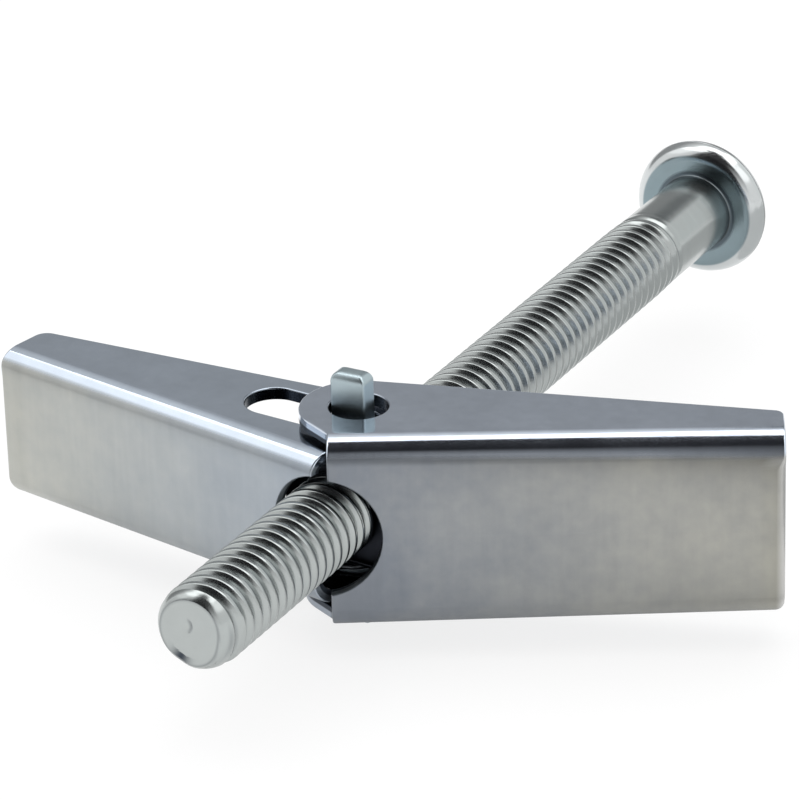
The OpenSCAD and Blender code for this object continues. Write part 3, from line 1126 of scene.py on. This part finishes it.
@dataclass
class TorsionSpring:
    """Wire bent into a coil round each tab, a bridge behind the outer web, and two free ends.

    It is made as two pieces that meet in the middle of the coils, one half by the outer wing and
    the other by the inner wing.
    """

    finish: bpy.types.Material
    wire_d: float = 0.3
    coil_r: float = 1.25
    low_z: float = 2.59
    web_in: float = 3.11
    bridge_at: float = 2.9
    end_at: float = 3.3
    bend_r: float = 0.6
    outer_open: float = 27.5
    inner_open: float = 11.0
    play: float = 0.3

    def __post_init__(self) -> None:
        """Takes the height of the wire's free ends from the frame."""
        self.high_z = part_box("spring")[1][2] / MM - self.wire_d / 2

    def anchors(self) -> tuple[Array, Array]:
        """Where the wire bears on the outer and on the inner web, seen from above."""
        o, i = math.radians(self.outer_open), math.radians(self.inner_open)
        bridge = [
            self.play + self.bridge_at * math.cos(o) + self.web_in * math.sin(o),
            self.bridge_at * math.sin(o) - self.web_in * math.cos(o),
        ]
        end = [
            -self.end_at * math.cos(i) - self.web_in * math.sin(i),
            self.end_at * math.sin(i) - self.web_in * math.cos(i),
        ]
        return np.array(bridge), np.array(end)

    def half_line(self) -> Array:
        """The wire's middle line above the screw: bridge corner, leg, one coil, and the free leg.

        Each leg is tangent to the coil: its touching angle is the anchor's own angle less or plus
        acos(coil radius / anchor distance).
        """
        bridge, end = self.anchors()
        a0 = math.atan2(bridge[1], bridge[0]) - math.acos(self.coil_r / np.linalg.norm(bridge)) + 2 * math.pi
        a1 = math.atan2(end[1], end[0]) + math.acos(self.coil_r / np.linalg.norm(end))
        leg = np.array([math.sin(a0), -math.cos(a0)])
        a = np.linspace(0, math.pi / 2, 7)
        plan = bridge + leg * self.bend_r * (1 - np.cos(a))[:, None]
        rise = self.low_z - self.bend_r * (1 - np.sin(a))
        corner = np.concatenate([plan, rise[:, None]], 1)
        coil_start = self.coil_r * np.array([math.cos(a0), math.sin(a0)])
        legs = np.concatenate([line(corner[-1, :2], coil_start, 10)[1:-1], np.full((8, 1), self.low_z)], 1)
        half_steps = 36
        k = np.linspace(0, 1, 2 * half_steps + 1)
        turn = a0 + (a1 - a0) * k
        height = self.low_z + (self.high_z - self.low_z) * k
        coil = np.stack([self.coil_r * np.cos(turn), self.coil_r * np.sin(turn), height], 1)
        tail = np.concatenate([line(coil[-1, :2], end, 12)[1:], np.full((11, 1), self.high_z)], 1)
        self.middle = len(corner) + len(legs) + half_steps
        return np.concatenate([corner, legs, coil, tail])

    def tube(self, path: Array, sides: int = 12) -> Shell:
        """A round bar along a path: a circle carried along it without twist, closed at both ends."""
        t = np.gradient(path, axis=0)
        t /= np.linalg.norm(t, axis=1, keepdims=True)
        n = np.zeros_like(t)
        n[0] = np.cross(t[0], [0.3, 0.5, 0.8])
        for i in range(1, len(path)):
            n[i] = n[i - 1] - t[i] * (n[i - 1] @ t[i])
            n[i] /= np.linalg.norm(n[i])
        n[0] /= np.linalg.norm(n[0])
        b = np.cross(t, n)
        a = np.arange(sides) * 2 * math.pi / sides
        r = self.wire_d / 2
        spokes = np.cos(a)[None, :, None] * n[:, None] + np.sin(a)[None, :, None] * b[:, None]
        ring = path[:, None] + r * spokes
        tris = [grid_tris(len(path), sides, wrap=True, flip=True)]
        fan = np.stack([np.zeros(sides - 2, int), np.arange(1, sides - 1), np.arange(2, sides)], 1)
        tris += [fan[:, ::-1], fan + (len(path) - 1) * sides]
        return Shell(ring.reshape(-1, 3), np.concatenate(tris))

    def build(self) -> list[bpy.types.Object]:
        """Both pieces, the bridge and the free ends, made in place; neither is attached to a wing's body."""
        upper = self.half_line()
        down = np.array([1.0, 1.0, -1.0])
        bridge = np.concatenate([(upper[: self.middle + 1] * down)[::-1], upper[: self.middle + 1]])
        tails = [self.tube(upper[self.middle :]), self.tube((upper[self.middle :] * down)[::-1])]
        anchors = self.anchors()
        pieces = []
        for name, shell, body, anchor in (
            ("spring_bridge", self.tube(bridge), Body.OUTER, anchors[0]),
            ("spring_ends", Shell.joined(tails), Body.INNER, anchors[1]),
        ):
            # Painted shade on the wire where it lies inside the wings' channel.
            shell.marks["inside"] = 0.97 * smooth((self.low_z + 0.5 - np.abs(shell.points[:, 2])) / 0.5)
            obj = shell.to_object(name)
            obj.data.materials.append(self.finish)
            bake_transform(obj)
            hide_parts("spring")
            pieces.append(obj)
        return pieces


# ---------------------------------------------------------------- studio


@dataclass
class Studio:
    """Pale floor, soft light and the camera."""

    azimuth: float = 29.361
    elevation: float = 25.657
    roll: float = -1.75
    distance: float = 226.02
    aside: float = 2.118
    above: float = 4.273
    lens: float = 225.41
    card_distance: float = 400.0

    def camera(self) -> None:
        """The camera, looking from its azimuth and elevation with a small roll."""
        a, e, r = (math.radians(v) for v in (self.azimuth, self.elevation, self.roll))
        back = Vector((math.sin(a) * math.cos(e), -math.cos(a) * math.cos(e), math.sin(e)))
        right = Vector((math.cos(a), math.sin(a), 0.0))
        up = back.cross(right)
        place = back * self.distance + right * self.aside + up * self.above
        x = right * math.cos(r) + up * math.sin(r)
        y = up * math.cos(r) - right * math.sin(r)
        data = bpy.data.cameras.new("camera")
        data.lens, data.sensor_width, data.clip_start, data.clip_end = self.lens, 36.0, 0.005, 10.0
        cam = bpy.data.objects.new("camera", data)
        cam.matrix_world = Matrix.Translation(place * MM) @ Matrix((x, y, back)).transposed().to_4x4()
        bpy.context.scene.collection.objects.link(cam)
        bpy.context.scene.camera = cam

    def seen_white(self, tree: bpy.types.NodeTree, share: float, gloss: float) -> bpy.types.NodeSocket:
        """A factor that is share for what the camera or a clear piece sees, gloss for a gloss, else 0."""
        path = tree.nodes.new("ShaderNodeLightPath")
        seen = math_node(tree, "MAXIMUM", path.outputs["Is Camera Ray"], path.outputs["Is Transmission Ray"])
        shiny = math_node(tree, "MULTIPLY", path.outputs["Is Glossy Ray"], gloss)
        return math_node(tree, "MAXIMUM", math_node(tree, "MULTIPLY", seen, share), shiny)

    def world(self) -> None:
        """White where it is seen, and a softer fill where it lights."""
        world = bpy.data.worlds.new("studio")
        world.use_nodes = True
        tree = world.node_tree
        ground = tree.nodes["Background"]
        ground.inputs["Color"].default_value = (1.0, 1.0, 1.0, 1.0)
        lit = self.seen_white(tree, 0.15, 0.15)
        tree.links.new(math_node(tree, "ADD", lit, 0.85), ground.inputs["Strength"])
        bpy.context.scene.world = world

    def floor(self) -> None:
        """A wide pale floor that keeps a faint shadow."""
        reach, floor_z = 6000.0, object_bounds()[0][2] / MM
        corners = np.array([[-reach, -reach], [reach, -reach], [reach, reach], [-reach, reach]])
        points = np.concatenate([corners, np.full((4, 1), floor_z - 0.02)], 1)
        obj = Shell(points, np.array([[0, 1, 2], [0, 2, 3]])).to_object("floor")
        mat = bpy.data.materials.new("floor_white")
        mat.use_nodes = True
        tree = mat.node_tree
        shader = tree.nodes["Principled BSDF"]
        shader.inputs["Base Color"].default_value = (0.9, 0.9, 0.9, 1.0)
        shader.inputs["Roughness"].default_value = 0.9
        shader.inputs["Specular IOR Level"].default_value = 0.0
        glow = tree.nodes.new("ShaderNodeEmission")
        mix = tree.nodes.new("ShaderNodeMixShader")
        tree.links.new(self.seen_white(tree, 0.8, 0.4), mix.inputs[0])
        tree.links.new(shader.outputs[0], mix.inputs[1])
        tree.links.new(glow.outputs[0], mix.inputs[2])
        tree.links.new(mix.outputs[0], tree.nodes["Material Output"].inputs["Surface"])
        obj.data.materials.append(mat)
        obj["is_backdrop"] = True

    def lamp(self, name: str, place: tuple, aim: tuple, size: tuple, power: float) -> None:
        """A soft rectangular lamp that faces a point.

        Args:
            name: its name.
            place: where it stands, in millimetres.
            aim: what it faces, in millimetres.
            size: its width and height in millimetres.
            power: its power in watts.
        """
        data = bpy.data.lights.new(name, "AREA")
        data.shape, data.size, data.size_y, data.energy = "RECTANGLE", size[0] * MM, size[1] * MM, power
        lamp = bpy.data.objects.new(name, data)
        where, to = Vector(place) * MM, Vector(aim) * MM
        facing = (where - to).to_track_quat("Z", "Y").to_matrix().to_4x4()
        lamp.matrix_world = Matrix.Translation(where) @ facing
        bpy.context.scene.collection.objects.link(lamp)

    def card(
        self, name: str, around: tuple[float, float], low: float, top: tuple[float, float],
        shade: Colour, upper: Colour | None = None,
    ) -> None:
        """A curved card that only polished metal sees, as a studio sets one beside such work.

        It is a patch of a sphere about the object, between two directions around, from a level
        lower edge to an upper edge that may slope.

        Args:
            name: its name.
            around: from and to, in degrees from +X towards +Y.
            low: its lower edge, in degrees above the horizon.
            top: its upper edge at both ends, in degrees above the horizon.
            shade: its colour.
            upper: its colour at the upper edge, where that differs.
        """
        a, k = np.meshgrid(np.linspace(0, 1, 25), np.linspace(0, 1, 17), indexing="ij")
        e = np.radians(low + (top[0] + (top[1] - top[0]) * a - low) * k)
        a = np.radians(around[0] + (around[1] - around[0]) * a)
        sphere = np.stack([np.cos(a) * np.cos(e), np.sin(a) * np.cos(e), np.sin(e)], -1) * self.card_distance
        obj = Shell(sphere.reshape(-1, 3), grid_tris(25, 17), marks={"rise": k.ravel()}).to_object(name)
        self.unlit(obj, shade, upper or shade)

    def pad(self, name: str, low: tuple[float, float], high: tuple[float, float], shade: Colour) -> None:
        """A grey sheet that lies on the floor beside the screw. Only polished metal sees it.

        Args:
            name: its name.
            low: its corner with the least x and y.
            high: its corner with the greatest x and y.
            shade: its colour.
        """
        floor_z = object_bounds()[0][2] / MM
        x, y = np.meshgrid(np.array([low[0], high[0]]), np.array([low[1], high[1]]), indexing="ij")
        points = np.stack([x.ravel(), y.ravel(), np.full(4, floor_z + 0.02)], 1)
        self.unlit(Shell(points, grid_tris(2, 2)).to_object(name), shade, shade)

    @staticmethod
    def unlit(obj: bpy.types.Object, shade: Colour, upper: Colour) -> None:
        """Makes a stage object glow from shade to upper by its rise mark, seen by gloss alone.

        Args:
            obj: the object.
            shade: its colour where the mark is 0.
            upper: its colour where the mark is 1.
        """
        mat = bpy.data.materials.new(obj.name)
        mat.use_nodes = True
        tree = mat.node_tree
        glow = tree.nodes.new("ShaderNodeEmission")
        rise = tree.nodes.new("ShaderNodeAttribute")
        rise.attribute_name = "rise"
        colour = mix_colour(tree, rise.outputs["Fac"], (*shade, 1.0), (*upper, 1.0))
        tree.links.new(colour, glow.inputs["Color"])
        tree.links.new(glow.outputs[0], tree.nodes["Material Output"].inputs["Surface"])
        obj.data.materials.append(mat)
        obj.visible_camera = obj.visible_diffuse = obj.visible_shadow = False
        obj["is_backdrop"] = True

    def build(self) -> None:
        """Everything round the object."""
        self.camera()
        self.world()
        self.floor()
        self.lamp("overhead", (-94, 84, 430), (-94, 84, 0), (690, 610), 1.85)
        black, white = (0.012, 0.012, 0.014), (1.0, 1.0, 1.0)
        side, back = (0.36, 0.365, 0.37), (0.16, 0.17, 0.18)
        self.card("front_card", (-122, -67), 4, (60, 60), black)
        self.card("front_fade", (-67, -35), 8, (50, 50), (0.95, 0.95, 0.95), black)
        self.card("front_flag", (-67, -35), 50, (62, 62), black)
        self.card("top_flag", (-128, -28), 60, (76, 76), black)
        self.card("zenith_flag", (-168, 12), 76, (95, 95), black)
        self.card("low_flag", (-142, -130), 0, (10, 10), (0.12, 0.12, 0.11))
        self.card("left_card", (-178, -138), 27, (48, 48), (1.35, 1.35, 1.35))
        self.card("bright_card", (-34, 28), 30, (56, 56), (1.6, 1.6, 1.6))
        self.card("right_card", (28, 76), 1, (48, 48), (0.95, 0.97, 0.97))
        self.card("back_card", (76, 111), 29.5, (40, 40), back)
        self.card("back_fade", (76, 111), 40, (60, 60), back, white)
        self.card("side_card", (90, 128), 1, (29.5, 29.5), side)
        self.card("side_fade", (111, 128), 29.5, (62, 62), side, (1.05, 1.05, 1.05))
        self.card("far_card", (128, 178), 1, (35, 35), side)
        self.card("far_fade", (128, 178), 35, (64, 64), side, (1.0, 1.0, 1.0))
        self.pad("side_pad", (3.0, 14.0), (60.0, 90.0), (0.68, 0.69, 0.69))
        view = bpy.context.scene.view_settings
        view.view_transform = "Standard"


# ---------------------------------------------------------------- the whole


def main() -> None:
    """Builds the pieces in order."""
    logging.basicConfig(level=logging.INFO, format="%(message)s")
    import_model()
    Studio().build()
    mottle, grain = mottle_group(), grain_group()
    # The satin and warm colours are partly the duller finish and partly painted shade: they are set darker
    # than the polished ones because what these faces reflect here is the white floor. The screw's warm
    # colour is painted shade under its head.
    finishes = [
        ZincFinish(
            "screw_zinc", (0.60, 0.625, 0.63), (0.42, 0.445, 0.44), (0.235, 0.30, 0.325),
            polished_rough=0.18, satin_rough=0.22,
        ),
        ZincFinish("nut_zinc", (0.42, 0.50, 0.53), polished_rough=0.33),
        ZincFinish(
            "wing_zinc_outer", (0.62, 0.68, 0.77), (0.225, 0.245, 0.275), (0.375, 0.37, 0.335),
            mottle=0.4, sheet=True,
        ),
        ZincFinish(
            "wing_zinc_inner", (0.60, 0.67, 0.76), (0.35, 0.388, 0.432), (0.443, 0.448, 0.417),
            mottle=0.35, sheet=True,
        ),
        ZincFinish("spring_wire", (0.24, 0.25, 0.27), polished_rough=0.25),
    ]
    screw_zinc, nut_zinc, outer_zinc, inner_zinc, wire = (f.build(mottle, grain) for f in finishes)
    pieces = [
        MachineScrew(screw_zinc).build(),
        TrunnionNut(nut_zinc).build(),
        FoldedWing(
            "outer_wing_sheet", Body.OUTER, outer_zinc, length=18.9, lap=1.35, corner_r=0.3,
            opening=27.5, play=0.3, fold_r=1.15, end_corner_r=0.45, end_edge_r=0.42,
            crown=(6.0, 26.0), crown_len=1.5, satin_from=(0.6, 0.3), taper=0.035, sag=0.09,
        ).build(),
        FoldedWing(
            "inner_wing_sheet", Body.INNER, inner_zinc, length=18.2, lap=0.75, corner_r=0.95,
            opening=11.0, mirrored=True, slot_reach=4.3, slot_tilt=6.5, notch_out=0.6,
            end_edge_r=0.15, end_slant=0.35, crown_len=0.7, end_band_depth=0.1,
        ).build(),
        *TorsionSpring(wire).build(),
    ]
    for piece in pieces:
        LOG.info("piece %s: %d triangles", piece.name, len(piece.data.polygons))


if __name__ == "__main__":
    main()
